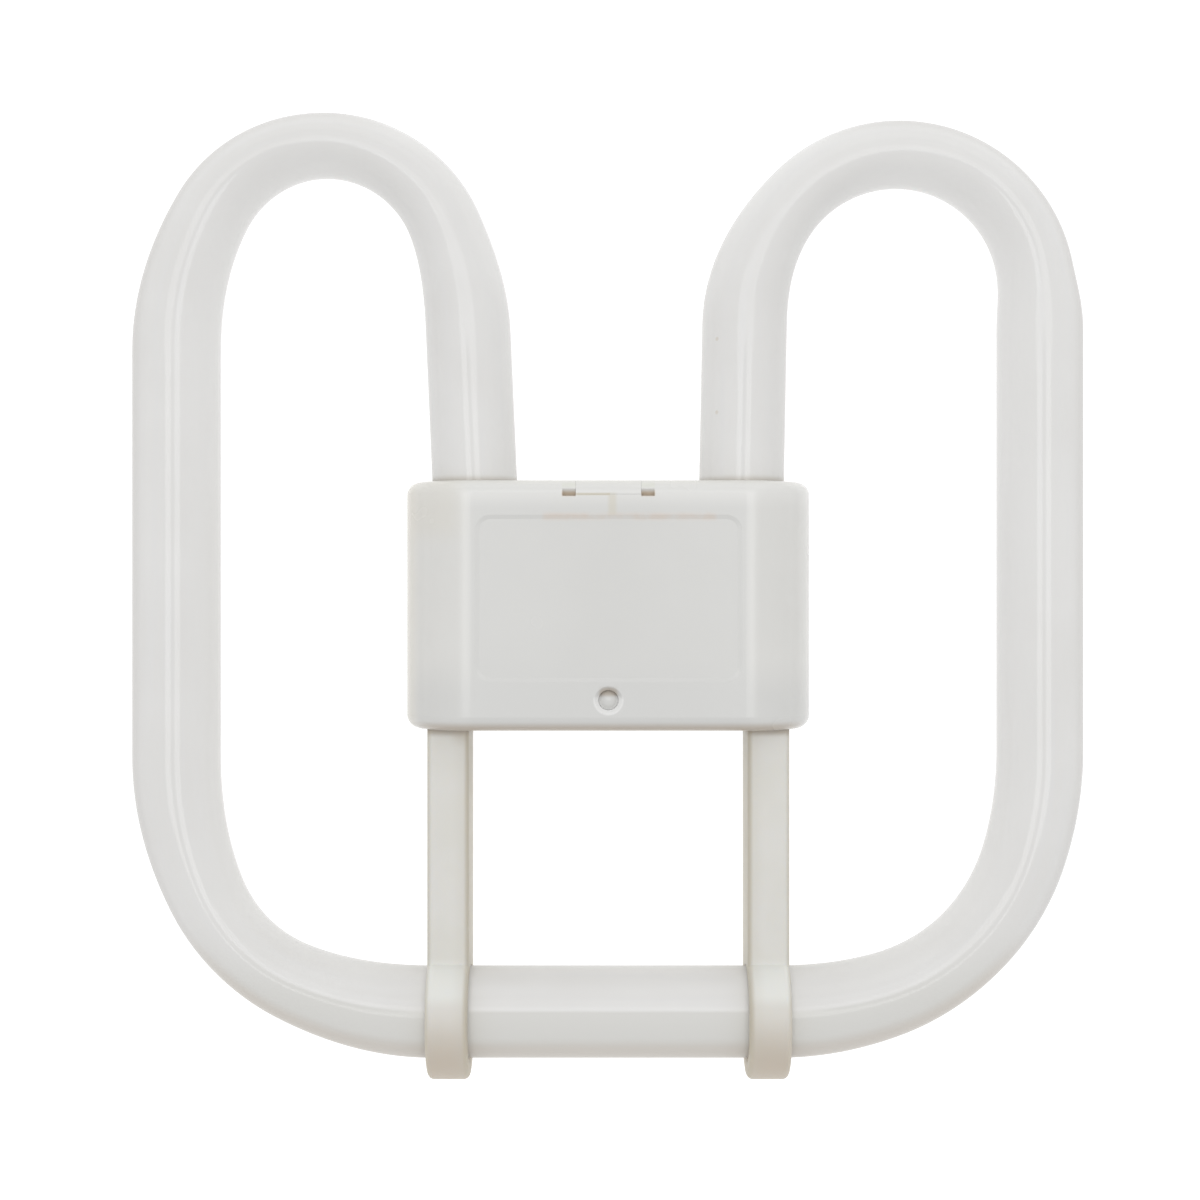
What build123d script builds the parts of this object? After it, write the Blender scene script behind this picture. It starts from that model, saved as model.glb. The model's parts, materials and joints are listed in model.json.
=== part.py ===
from build123d import *
import os
from math import ceil, cos, radians, sin, tan

# Square compact fluorescent lamp with a plug-in cap, lying on the flat back of its cap, front upwards.
# X runs across the lamp, Y along it from the clips towards the two lobes, Z from the back to the front.
# The origin is the middle of the holder well, on the plane of the cap's back. Millimetres and degrees.

# Tube: where its middle line runs
leg_spacing = 125.3  # between the two outer legs
inner_spacing = 38.7  # between the two inner legs, where they enter the cap
bottom_run_y = -60.25
left_corner_radius = 25.7
left_corner_gentle_radius = 48.0
left_corner_ease = 24.6  # turn made in each gentle arc beside the corner's tight one
right_corner_radius = 31.0
right_corner_gentle_radius = 50.3
right_corner_ease = 17.9
left_crown_offset = 41.05  # from the lamp's middle to the top of the lobe
left_crown_y = 65.4
left_crown_radius = 18.8
left_crown_outer_ease = 28.6
left_crown_inner_ease = 21.6
left_leg_lean = 2.5  # of the inner leg, away from the lamp's middle as it rises
right_crown_offset = 42.0
right_crown_y = 64.1
right_crown_radius = 20.2
right_crown_outer_ease = 10.0
right_crown_inner_ease = 45.0
right_leg_lean = 1.1

# Tube: its oval section, which the glass keeps full on the straights and draws narrow round the bends
tube_depth = 12.6  # front to back
bottom_run_width = 13.2
inner_leg_width = 12.3
left_leg_width = 12.65
left_corner_width = 10.7
left_outer_shoulder_width = 10.9
left_crown_width = 9.3
left_inner_shoulder_width = 10.6
right_leg_width = 12.35
right_corner_width = 11.4
right_outer_shoulder_width = 10.9
right_crown_width = 9.6
right_inner_shoulder_width = 9.8

# Tube: its pinched ends inside the cap
seal_taper = 4.0
seal_length = 5.0
seal_width = 12.0
seal_thickness = 3.0
seal_lead_spacing = 6.0

# Cap
cap_top_y = 16.4
cap_height = 35.4
cap_depth = 22.0
cap_side_radius = 9.8  # round of the cover's sides, about the middle of the tube's ends
cap_top_round = 1.8
cap_bottom_round = 2.0
cap_back_round = 1.6
wall = 1.8
tube_clearance = 0.25
fit_clearance = 0.15
seat_gap = 0.05  # round a piece that sits tight in its hole
overrun = 2.0  # of a cut beyond the face that it opens

# Panel sunk in the front of the cover
panel_width = 37.5
panel_top_margin = 4.95
panel_bottom_margin = 6.95
panel_corner = 2.2
panel_sink = 0.13
panel_slope = 0.6

# Latch at the top of the cap: a tongue of the base that hooks over the cover
latch_width = 9.2
latch_thickness = 1.15
latch_lip = 0.9
latch_lip_reach = 0.9
snap_clearance = 0.02  # round the latch and the locating post
latch_pit_width = 1.85
latch_pit_height = 1.1
latch_pit_depth = 1.0  # at the pit's lower side, from where its floor slopes up to the front
latch_pit_drop = 0.25  # below the lip's lower side

# Locating post of the base, seen through a hole low in the cover
post_margin = 4.4  # from the cap's bottom to the post's axis
post_diameter = 2.8
post_foot_diameter = 5.0
post_recess = 0.5
post_dome = 0.65  # rise of its rounded top
post_hole_chamfer = 0.55

# Holder well and contact pins in the back of the cap
well_width = 21.0
well_height = 15.0
well_depth = 8.0
well_corner = 1.5
well_detent_width = 6.0
well_detent_height = 1.8
well_detent_sink = 0.8
well_detent_rise = 3.0
pin_spacing = 8.0
pin_diameter = 2.4
pin_length = 6.8
pin_tip_round = 0.7
pin_flange_diameter = 4.0
pin_flange = 0.8
pin_shank_diameter = 1.8  # through the well's floor, and up as the tail
pin_tail = 2.0

# Ribs of the base under the tube's ends, and the cement between them
rib_thickness = 1.5
upper_rib_drop = 2.5  # below the inside of the cap's top
lower_rib_rise = 1.5  # above the tube's taper
rib_height_gap = 1.5  # rib tops below the tube's middle plane
cement_width = 9.0

# Support arms with clips round the bottom run
arm_spacing = 45.9
arm_width = 6.0
arm_front = 4.5  # in front of the tube's middle plane
arm_back = 6.5  # behind it
arm_edge_round = 0.8
arm_wall = 1.5
arm_web = 2.0
clip_thickness = 2.0  # where it leaves the arm
clip_tip_thickness = 2.85  # at its lowest point
clip_clearance = 0.15
clip_edge_round = 0.9
clip_wrap = 140.0  # from the tube's front, down and round its back
foot_height = 2.0
foot_lip = 2.0
foot_front = 2.8
foot_heel = 1.2

# Starter and its capacitor
starter_diameter = 7.0
starter_length = 16.0
starter_end_gap = 1.6
starter_tip_flat = 0.4  # radius left flat at the top of its dome
starter_press_length = 3.0
starter_press_thickness = 2.4
starter_lead_spacing = 3.0
saddle_thickness = 1.2
saddle_width = 6.4
saddle_inset = 4.2  # upper saddle's lower side below the starter's top
capacitor_width = 8.0
capacitor_thickness = 3.0
capacitor_drop = 4.0  # below the starter's end
capacitor_leg = 0.8
capacitor_leg_spacing = 6.0
capacitor_edge_round = 0.8

# Lead wires
lead_diameter = 0.8
lead_bend = 1.0
lead_exit = 1.2
lead_row_gap = 1.2
lead_room = 5.6  # between the seals and the cap's bottom wall

# Slices that the tube is drawn through
slice_pitch = 6.0  # at most, along the middle line
pinch_slices = 12  # along the taper and the seal of each end
pinch_lead_slices = 4  # before them

# Places that follow from the sizes above
tube_plane = cap_depth - cap_side_radius
cap_half_width = inner_spacing / 2 + cap_side_radius
cap_bottom_y = cap_top_y - cap_height
inner_top_y = cap_top_y - wall
inner_bottom_y = cap_bottom_y + wall
cover_inside_z = cap_depth - wall
well_floor_z = well_depth + wall
post_y = cap_bottom_y + post_margin
lead_radius = lead_diameter / 2
starter_z = (well_floor_z + cover_inside_z) / 2
starter_top_y = inner_top_y - starter_end_gap
starter_bottom_y = starter_top_y - starter_length
capacitor_y = starter_bottom_y - capacitor_drop
tube_insertion = cap_height - wall - lead_room - seal_length - seal_taper
tube_end_y = cap_top_y - tube_insertion


# Tube


def half_line(corner, crown, lean):
    """Runs of the tube's middle line on one side: (length, turn) pairs from the bottom's middle to the taper.

    Each bend is a tight arc between two gentler ones. The gentle radii of the crown follow from the
    places of the two legs, so that every run meets the next one in line.
    """
    corner_radius, corner_gentle, corner_ease = corner
    crown_offset, crown_y, crown_radius, outer_ease, inner_ease = crown
    a, b, c, tilt = (radians(x) for x in (corner_ease, outer_ease, inner_ease, lean))
    leg_x = leg_spacing / 2
    reach = corner_gentle * (sin(a) + 1 - cos(a)) + corner_radius * (cos(a) - sin(a))
    outer_gentle = (leg_x - crown_offset - crown_radius * cos(b)) / (1 - cos(b))
    leg_top_y = crown_y - outer_gentle * sin(b) - crown_radius * (1 - sin(b))
    drop = crown_y - crown_radius * (1 - sin(c)) - cap_top_y
    across = crown_offset - inner_spacing / 2 - crown_radius * cos(c) - drop * tan(tilt)
    inner_gentle = across / (cos(tilt) - cos(c) - (sin(c) - sin(tilt)) * tan(tilt))
    inner_top = drop - inner_gentle * (sin(c) - sin(tilt))
    return [
        (leg_x - reach, 0),
        (corner_gentle * a, corner_ease),
        (corner_radius * (radians(90) - 2 * a), 90 - 2 * corner_ease),
        (corner_gentle * a, corner_ease),
        (leg_top_y - bottom_run_y - reach, 0),
        (outer_gentle * b, outer_ease),
        (crown_radius * radians(90 - outer_ease), 90 - outer_ease),
        (crown_radius * radians(90 - inner_ease), 90 - inner_ease),
        (inner_gentle * (c - tilt), inner_ease - lean),
        ((inner_top + tube_insertion) / cos(tilt), 0),
    ]


def step_along(point, heading, length, turn):
    """The point and heading after a straight run, or after an arc of that length and turn."""
    start = radians(heading)
    end = radians(heading + turn)
    if turn == 0:
        return (point[0] + length * cos(start), point[1] + length * sin(start)), heading
    radius = length / radians(turn)
    x = point[0] + radius * (sin(end) - sin(start))
    y = point[1] - radius * (cos(end) - cos(start))
    return (x, y), heading + turn


def eased(place, stops):
    """A value that passes smoothly and without overshoot through (place, value) stops."""
    slopes = [(v1 - v0) / (s1 - s0) for (s0, v0), (s1, v1) in zip(stops, stops[1:])]
    tangents = [0.0]
    for before, after in zip(slopes, slopes[1:]):
        same_way = before * after > 0
        tangents.append(2 * before * after / (before + after) if same_way else 0.0)
    tangents.append(0.0)
    i = max(k for k in range(len(slopes)) if place >= stops[k][0])
    (s0, v0), (s1, v1) = stops[i], stops[i + 1]
    u = (place - s0) / (s1 - s0)
    rise = u * u * (3 - 2 * u)
    lean_in = u * (1 - u) ** 2 * (s1 - s0) * tangents[i]
    lean_out = u * u * (u - 1) * (s1 - s0) * tangents[i + 1]
    return v0 + (v1 - v0) * rise + lean_in + lean_out


def half_slices(side, runs, widths):
    """Slices (x, y, heading, width) of one side of the tube, from the bottom's middle outwards."""
    leg_width, corner_width, outer_width, crown_width, inner_width = widths
    ends = [0.0]
    for length, turn in runs:
        ends.append(ends[-1] + length)
    stops = [
        (ends[0], bottom_run_width),
        (ends[1], bottom_run_width),
        ((ends[2] + ends[3]) / 2, corner_width),
        (ends[4], leg_width),
        (ends[5], leg_width),
        (ends[6], outer_width),
        (ends[7], crown_width),
        (ends[8], inner_width),
        (ends[9], inner_leg_width),
        (ends[10], inner_leg_width),
    ]
    slices = [(0.0, bottom_run_y, 0.0, bottom_run_width)]
    point, heading = (0.0, bottom_run_y), 0.0
    for (length, turn), begin in zip(runs, ends):
        count = max(2, ceil(length / slice_pitch))
        for k in range(1, count + 1):
            share = k / count
            (x, y), direction = step_along(point, heading, length * share, turn * share)
            slices.append((x, y, direction, eased(begin + length * share, stops)))
        point, heading = step_along(point, heading, length, turn)
    if side < 0:
        slices = [(-x, y, 180 - direction, width) for x, y, direction, width in slices]
    return slices


def oval(width, depth):
    """An oval face, of a front half and a back half."""
    front = EllipticalCenterArc((0, 0), width / 2, depth / 2, 0, arc_size=180)
    back = EllipticalCenterArc((0, 0), width / 2, depth / 2, 180, arc_size=180)
    return make_face([front, back])


def slice_plane(x, y, heading):
    """Plane square to the tube's run: its own x in the lamp's plane, its own y towards the front."""
    h = radians(heading)
    return Plane(origin=(x, y, tube_plane), x_dir=(sin(h), -cos(h), 0), z_dir=(cos(h), sin(h), 0))


def pinched_slices(end):
    """Slices (x, y, heading, width, depth) from shortly before the taper to the end of the flat seal."""
    x, y, heading, width = end
    h = radians(heading)
    slices = []
    for k in range(-pinch_lead_slices, pinch_slices + 1):
        along = (seal_taper + seal_length) * k / pinch_slices
        share = min(max(along / seal_taper, 0), 1)
        pinch = share * share * (3 - 2 * share)
        slice_width = width + (seal_width - width) * pinch
        slice_depth = tube_depth + (seal_thickness - tube_depth) * pinch
        slices.append((x + along * cos(h), y + along * sin(h), heading, slice_width, slice_depth))
    return slices


left_corner = (left_corner_radius, left_corner_gentle_radius, left_corner_ease)
left_crown = (
    left_crown_offset,
    left_crown_y,
    left_crown_radius,
    left_crown_outer_ease,
    left_crown_inner_ease,
)
left_widths = (
    left_leg_width,
    left_corner_width,
    left_outer_shoulder_width,
    left_crown_width,
    left_inner_shoulder_width,
)
right_corner = (right_corner_radius, right_corner_gentle_radius, right_corner_ease)
right_crown = (
    right_crown_offset,
    right_crown_y,
    right_crown_radius,
    right_crown_outer_ease,
    right_crown_inner_ease,
)
right_widths = (
    right_leg_width,
    right_corner_width,
    right_outer_shoulder_width,
    right_crown_width,
    right_inner_shoulder_width,
)
left_slices = half_slices(-1, half_line(left_corner, left_crown, left_leg_lean), left_widths)
right_slices = half_slices(1, half_line(right_corner, right_crown, right_leg_lean), right_widths)
left_end, right_end = left_slices[-1], right_slices[-1]


def discharge_tube():
    """The whole glass tube, from the left seal round both lobes to the right seal."""
    left_half = [(*place, tube_depth) for place in left_slices[1:-1]] + pinched_slices(left_end)
    right_half = [(*place, tube_depth) for place in right_slices[:-1]] + pinched_slices(right_end)
    inward = [(x, y, heading + 180, width, depth) for x, y, heading, width, depth in reversed(left_half)]
    ovals = []
    for x, y, heading, width, depth in inward + right_half:
        ovals.append(slice_plane(x, y, heading) * oval(width, depth))
    return loft(ovals)


def tube_end_void(end, radius, top_y):
    """A round bore along the tube's end, from the height top_y down to the end of its seal."""
    x, y, heading, width = end
    h = radians(heading)
    beyond = seal_taper + seal_length
    length = (top_y - y) / -sin(h) + beyond
    foot = Plane(origin=(x + beyond * cos(h), y + beyond * sin(h), tube_plane), z_dir=(-cos(h), -sin(h), 0))
    return foot * Cylinder(radius, length, align=(Align.CENTER, Align.CENTER, Align.MIN))


# Cap


def block(x0, x1, y0, y1, z0, z1):
    """A box between two corners."""
    return Pos((x0 + x1) / 2, (y0 + y1) / 2, (z0 + z1) / 2) * Box(x1 - x0, y1 - y0, z1 - z0)


def cover_block(radius, top_y, length):
    """A body along Y with a flat front between two quarter rounds about the middle of the tube's ends."""
    flat = inner_spacing / 2
    right = CenterArc((flat, 0), radius, 0, 90)
    front = Line((flat, radius), (-flat, radius))
    left = CenterArc((-flat, 0), radius, 90, 90)
    back = Line((-flat - radius, 0), (flat + radius, 0))
    outline = Pos(0, tube_plane) * make_face([right, front, left, back])
    return extrude(Plane.XZ.offset(-top_y) * outline, amount=length)


def cover_outside():
    """The cover as a full body, with its top and bottom edges rounded."""
    body = cover_block(cap_side_radius, cap_top_y, cap_height)
    for end, radius in ((-1, cap_top_round), (0, cap_bottom_round)):
        edges = body.faces().sort_by(Axis.Y)[end].edges()
        body = fillet(edges.filter_by(lambda e: e.center().Z > tube_plane + fit_clearance), radius)
    return body


def panel_cut():
    """The shallow sunk panel with sloping sides."""
    height = cap_height - panel_top_margin - panel_bottom_margin
    middle_y = cap_top_y - panel_top_margin - height / 2
    narrowing = 2 * panel_slope
    rim = RectangleRounded(panel_width, height, panel_corner)
    floor = RectangleRounded(panel_width - narrowing, height - narrowing, panel_corner - panel_slope)
    rim = Pos(0, middle_y, cap_depth) * rim
    floor = Pos(0, middle_y, cap_depth - panel_sink) * floor
    return loft([rim, floor], ruled=True)


def latch_space(gap):
    """Room of the latch tongue and its lip, widened by a gap on every side that faces the cover."""
    half = latch_width / 2 + gap
    stem_y = cap_top_y - latch_thickness - gap
    lip_y = cap_top_y - latch_thickness - latch_lip_reach - gap
    lip_z = cap_depth - latch_lip - gap
    above, ahead = cap_top_y + overrun, cap_depth + overrun
    stem = block(-half, half, stem_y, above, tube_plane, ahead)
    return stem + block(-half, half, lip_y, above, lip_z, ahead)


def latch_pit(side):
    """A wedge-shaped pit beside the latch, deepest at its lower side."""
    middle_x = side * (latch_width / 2 + snap_clearance + latch_pit_width / 2)
    low_y = cap_top_y - latch_thickness - latch_lip_reach - latch_pit_drop
    high_y = low_y + latch_pit_height
    ahead = cap_depth + overrun
    corners = [(low_y, ahead), (low_y, cap_depth - latch_pit_depth), (high_y, cap_depth), (high_y, ahead)]
    wedge = Plane.YZ * make_face(Polyline(*corners, close=True))
    return Pos(middle_x, 0, 0) * extrude(wedge, amount=latch_pit_width / 2, both=True)


def arm_gate(side, z_from, z_to):
    """The gate for an arm through the cap's bottom wall, between two heights."""
    x = side * arm_spacing / 2
    half = arm_width / 2 + fit_clearance
    return block(x - half, x + half, cap_bottom_y - overrun, inner_bottom_y + fit_clearance, z_from, z_to)


def front_cover():
    """The moulded front of the cap."""
    hollow = cover_block(cap_side_radius - wall, inner_top_y, cap_height - 2 * wall)
    body = cover_outside() - hollow - panel_cut() - latch_space(snap_clearance)
    for side, end in ((-1, left_end), (1, right_end)):
        body -= tube_end_void(end, tube_depth / 2 + tube_clearance, cap_top_y + overrun)
        body -= arm_gate(side, tube_plane, tube_plane + arm_front + fit_clearance)
        body -= latch_pit(side)
    hole_radius = post_diameter / 2 + snap_clearance
    body -= Pos(0, post_y, cap_depth - wall / 2) * Cylinder(hole_radius, wall + overrun)
    high = (Align.CENTER, Align.CENTER, Align.MAX)
    flare = Cone(hole_radius, hole_radius + post_hole_chamfer, post_hole_chamfer, align=high)
    return body - Pos(0, post_y, cap_depth) * flare


def base_outside():
    """The rear of the cap as a full body, with the cover's corner rounds and a rounded back edge."""
    body = block(-cap_half_width, cap_half_width, cap_bottom_y, cap_top_y, 0, tube_plane)
    upright = body.edges().filter_by(Axis.Z)
    body = fillet(upright.group_by(Axis.Y)[-1], cap_top_round)
    upright = body.edges().filter_by(Axis.Z)
    body = fillet(upright.group_by(Axis.Y)[0], cap_bottom_round)
    return fillet(body.faces().sort_by(Axis.Z)[0].edges(), cap_back_round)


def holder_well():
    """The pocket in the back that takes the lampholder's nose, with a detent in each short side."""
    pocket = extrude(RectangleRounded(well_width, well_height, well_corner), amount=well_depth)
    reach = well_width / 2 + well_detent_sink
    low, high = well_detent_rise, well_detent_rise + well_detent_height
    return pocket + block(-reach, reach, -well_detent_width / 2, well_detent_width / 2, low, high)


def rear_base():
    """The moulded rear of the cap: shell, holder well, ribs, saddles, locating post and latch tongue."""
    inner_x = cap_half_width - wall
    well_x = well_width / 2 + wall
    well_y = well_height / 2 + wall
    body = base_outside() - block(-inner_x, inner_x, inner_bottom_y, inner_top_y, wall, tube_plane)
    body += block(-well_x, well_x, -well_y, well_y, 0, well_floor_z)
    upper_rib = inner_top_y - upper_rib_drop
    lower_rib = tube_end_y + lower_rib_rise
    for side, end in ((-1, left_end), (1, right_end)):
        for rib in (upper_rib - rib_thickness, lower_rib):
            near, far = sorted((side * well_x, side * inner_x))
            body += block(near, far, rib, rib + rib_thickness, wall, tube_plane - rib_height_gap)
        body -= tube_end_void(end, tube_depth / 2 + tube_clearance, cap_top_y + overrun)
        body -= arm_gate(side, tube_plane - arm_back - fit_clearance, tube_plane)
        pin_hole = Cylinder(pin_shank_diameter / 2 + seat_gap, well_floor_z)
        body -= Pos(side * pin_spacing / 2, 0, well_floor_z / 2) * pin_hole
    half = saddle_width / 2
    saddle_top = starter_z - starter_diameter / 4
    for saddle in (starter_top_y - saddle_inset, pin_flange_diameter / 2 + fit_clearance):
        body += block(-half, half, saddle, saddle + saddle_thickness, wall, saddle_top)
    starter_room = Rot(90, 0, 0) * Cylinder(starter_diameter / 2 + seat_gap, starter_length)
    body -= Pos(0, (starter_top_y + starter_bottom_y) / 2, starter_z) * starter_room
    return body - holder_well() + locating_post() + (latch_space(0) & cover_outside())


def locating_post():
    """The domed post that keys the cover to the base, on a thicker foot that stops under the cover."""
    foot_top = cover_inside_z - fit_clearance
    tip = cap_depth - post_recess
    low = (Align.CENTER, Align.CENTER, Align.MIN)
    foot = Pos(0, post_y, wall / 2) * Cylinder(post_foot_diameter / 2, foot_top - wall / 2, align=low)
    shank = Pos(0, post_y, foot_top) * Cylinder(post_diameter / 2, tip - post_dome - foot_top, align=low)
    dome_radius = (post_diameter**2 / 4 + post_dome**2) / (2 * post_dome)
    ball = Pos(0, post_y, tip - dome_radius) * Sphere(dome_radius)
    column = Pos(0, post_y, foot_top) * Cylinder(post_diameter / 2, tip - foot_top, align=low)
    return foot + shank + (column & ball)


def contact_pin(side):
    """A turned contact pin, riveted through the well's floor, with a tail inside for the lead wire."""
    low = (Align.CENTER, Align.CENTER, Align.MIN)
    pin = Cylinder(pin_diameter / 2, pin_length, align=low)
    pin = fillet(pin.faces().sort_by(Axis.Z)[0].edges(), pin_tip_round)
    shape = Pos(0, 0, well_depth - pin_length) * pin
    shape += Pos(0, 0, well_floor_z) * Cylinder(pin_flange_diameter / 2, pin_flange, align=low)
    shape += Pos(0, 0, well_depth) * Cylinder(pin_shank_diameter / 2, wall + pin_flange + pin_tail, align=low)
    return Pos(side * pin_spacing / 2, 0, 0) * shape


def end_cement(side, end):
    """The dab of cement between two ribs, from the base's back wall up round the tube's underside."""
    upper = inner_top_y - upper_rib_drop - rib_thickness
    lower = tube_end_y + lower_rib_rise + rib_thickness
    middle_y = (upper + lower) / 2
    x = end[0] + (middle_y - end[1]) * -cos(radians(end[2])) / -sin(radians(end[2]))
    top = tube_plane - rib_height_gap
    dab = block(x - cement_width / 2, x + cement_width / 2, lower, upper, wall, top)
    return dab - tube_end_void(end, tube_depth / 2 + seat_gap, cap_top_y)


# Support arms


def support_arm(side):
    """A strut out of the cap's bottom, hollow at the back, that ends in a clip round the bottom run."""
    x = side * arm_spacing / 2
    low_x, high_x = x - arm_width / 2, x + arm_width / 2
    back, front = tube_plane - arm_back, tube_plane + arm_front
    foot_y = inner_bottom_y + fit_clearance
    strut = block(low_x, high_x, bottom_run_y, foot_y, back, front)
    strut = fillet(strut.edges().filter_by(Axis.Y), arm_edge_round)
    bore_radius = bottom_run_width / 2 + clip_clearance
    clip_radius = bore_radius + (clip_thickness + clip_tip_thickness) / 2
    clip_y = bottom_run_y - (clip_tip_thickness - clip_thickness) / 2
    section = Plane.XZ * RectangleRounded(arm_width, clip_tip_thickness, clip_edge_round)
    section = Pos(x, clip_y, tube_plane + clip_radius - clip_tip_thickness / 2) * section
    axis = Axis((0, clip_y, tube_plane), (1, 0, 0))
    band = revolve(section, axis, clip_wrap) + revolve(section, axis, -90)
    bore = oval(2 * bore_radius, tube_depth + 2 * clip_clearance)
    bore_plane = Plane(origin=(x, bottom_run_y, tube_plane), x_dir=(0, 1, 0), z_dir=(1, 0, 0))
    arm = strut + band - extrude(bore_plane * bore, amount=arm_width, both=True)
    channel = block(
        low_x + arm_wall,
        high_x - arm_wall,
        bottom_run_y + clip_radius + arm_wall,
        cap_bottom_y - arm_web,
        back - overrun,
        front - arm_web,
    )
    foot = block(
        low_x - (foot_lip if side > 0 else 0),
        high_x + (foot_lip if side < 0 else 0),
        foot_y,
        foot_y + foot_height,
        back - foot_heel,
        tube_plane + foot_front,
    )
    return arm - channel + foot


# Starter and lead wires


def starter_bottle():
    """The sealed glow starter: a round glass bottle with a domed top and a flat press at its foot."""
    body_length = starter_length - starter_press_length
    bottle = Rot(90, 0, 0) * Cylinder(starter_diameter / 2, body_length)
    bottle = Pos(0, starter_top_y - body_length / 2, starter_z) * bottle
    bottle = fillet(bottle.edges().sort_by(Axis.Y)[-1], starter_diameter / 2 - starter_tip_flat)
    half = starter_lead_spacing / 2 + lead_diameter
    press = block(
        -half,
        half,
        starter_bottom_y,
        starter_bottom_y + starter_press_length,
        starter_z - starter_press_thickness / 2,
        starter_z + starter_press_thickness / 2,
    )
    return bottle + press


def starter_capacitor():
    """A dipped capacitor on the well's floor, its two legs up against the starter's lead wires."""
    top = starter_z - lead_radius - capacitor_leg
    half_x, half_y = capacitor_width / 2, capacitor_thickness / 2
    body = block(-half_x, half_x, capacitor_y - half_y, capacitor_y + half_y, well_floor_z, top)
    body = fillet(body.edges().filter_by(Axis.Z), capacitor_edge_round)
    for side in (-1, 1):
        leg = Cylinder(lead_radius, capacitor_leg, align=(Align.CENTER, Align.CENTER, Align.MIN))
        body += Pos(side * capacitor_leg_spacing / 2, capacitor_y, top) * leg
    return body


def wire(points):
    """A lead wire of round section along straight runs joined by bends."""
    path = FilletPolyline(*points, radius=lead_bend)
    start = Plane(origin=path @ 0, z_dir=path % 0)
    return sweep(start * Circle(lead_radius), path=path)


def seal_exit(side, end, toward_middle):
    """Where a lead wire leaves the face of a seal, and where it first turns, square to that face."""
    x, y, heading, width = end
    h = radians(heading)
    aside = seal_lead_spacing / 2 * (side if toward_middle else -side)
    along = seal_taper + seal_length
    reach = along + (lead_exit if toward_middle else lead_exit + lead_row_gap)
    leave = (x + along * cos(h) + aside * sin(h), y + along * sin(h) - aside * cos(h), tube_plane)
    turn = (x + reach * cos(h) + aside * sin(h), y + reach * sin(h) - aside * cos(h), tube_plane)
    return leave, turn


def lead_pin(side, end):
    """From the outer lead of a seal, along below the seals, up beside the well and over to the pin's tail."""
    leave, turn = seal_exit(side, end, toward_middle=False)
    level = well_floor_z + pin_flange + pin_tail / 2
    tail_x = side * (pin_spacing / 2 + pin_shank_diameter / 2)
    climb_x = side * (pin_spacing / 2 + pin_flange_diameter)
    return wire([leave, turn, (climb_x, turn[1], level), (climb_x, 0, level), (tail_x, 0, level)])


def lead_starter(side, end):
    """From the inner lead of a seal, up over the capacitor's leg and along to the foot of the starter."""
    leave, turn = seal_exit(side, end, toward_middle=True)
    turn_x = side * well_width / 2
    foot_x = side * starter_lead_spacing / 2
    return wire(
        [
            leave,
            turn,
            (turn_x, turn[1], starter_z),
            (turn_x, capacitor_y, starter_z),
            (foot_x, capacitor_y, starter_z),
            (foot_x, starter_bottom_y, starter_z),
        ]
    )


nodes = {
    "discharge_tube": discharge_tube(),
    "front_cover": front_cover(),
    "rear_base": rear_base(),
    "starter_bottle": starter_bottle(),
    "starter_capacitor": starter_capacitor(),
}
for side, word, end in ((-1, "left", left_end), (1, "right", right_end)):
    nodes["support_arm_" + word] = support_arm(side)
    nodes["contact_pin_" + word] = contact_pin(side)
    nodes["end_cement_" + word] = end_cement(side, end)
    nodes["lead_pin_" + word] = lead_pin(side, end)
    nodes["lead_starter_" + word] = lead_starter(side, end)

os.makedirs("parts", exist_ok=True)
for name, shape in nodes.items():
    export_step(shape, "parts/" + name + ".step")
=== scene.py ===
import json

import bpy
import numpy as np
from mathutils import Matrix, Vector


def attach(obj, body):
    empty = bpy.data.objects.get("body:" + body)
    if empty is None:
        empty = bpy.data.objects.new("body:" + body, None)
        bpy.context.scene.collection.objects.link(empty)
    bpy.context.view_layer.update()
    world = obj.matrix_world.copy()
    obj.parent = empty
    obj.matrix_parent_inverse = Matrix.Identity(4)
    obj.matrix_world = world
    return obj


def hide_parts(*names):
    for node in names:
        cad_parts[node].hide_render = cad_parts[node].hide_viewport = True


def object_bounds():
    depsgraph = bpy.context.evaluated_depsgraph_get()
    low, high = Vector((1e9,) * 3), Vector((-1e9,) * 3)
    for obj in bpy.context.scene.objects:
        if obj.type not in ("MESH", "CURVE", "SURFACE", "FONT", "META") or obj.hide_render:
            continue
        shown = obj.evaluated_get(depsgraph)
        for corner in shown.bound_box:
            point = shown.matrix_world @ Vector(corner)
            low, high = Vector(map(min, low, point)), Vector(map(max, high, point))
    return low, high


# Looks of a square compact fluorescent lamp lying on the back of its cap, seen from straight above.
# Lengths are in millimetres, as a maker measures them, and are turned to metres by MM.
# Waves are counted to the metre. Colours are linear red, green and blue, with a cover of 1.

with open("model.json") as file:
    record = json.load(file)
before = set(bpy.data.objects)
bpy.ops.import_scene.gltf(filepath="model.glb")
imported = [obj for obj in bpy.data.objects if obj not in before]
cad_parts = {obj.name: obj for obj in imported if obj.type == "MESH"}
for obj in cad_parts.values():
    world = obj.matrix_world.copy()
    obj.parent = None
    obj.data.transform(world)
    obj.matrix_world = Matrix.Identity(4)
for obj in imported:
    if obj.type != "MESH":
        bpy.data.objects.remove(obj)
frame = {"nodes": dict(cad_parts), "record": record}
cad_low, cad_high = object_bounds()

MM = 0.001

# Tube: where its middle line runs
leg_spacing = 125.3
inner_spacing = 38.7
bottom_run_y = -60.25
tube_plane = 12.2
left_corner = dict(radius=25.7, gentle=48.0, ease=24.6)
right_corner = dict(radius=31.0, gentle=50.3, ease=17.9)
left_crown = dict(offset=41.05, top=65.4, radius=18.8, outer_ease=28.6, inner_ease=21.6, lean=2.5)
right_crown = dict(offset=42.0, top=64.1, radius=20.2, outer_ease=10.0, inner_ease=45.0, lean=1.1)

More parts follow.
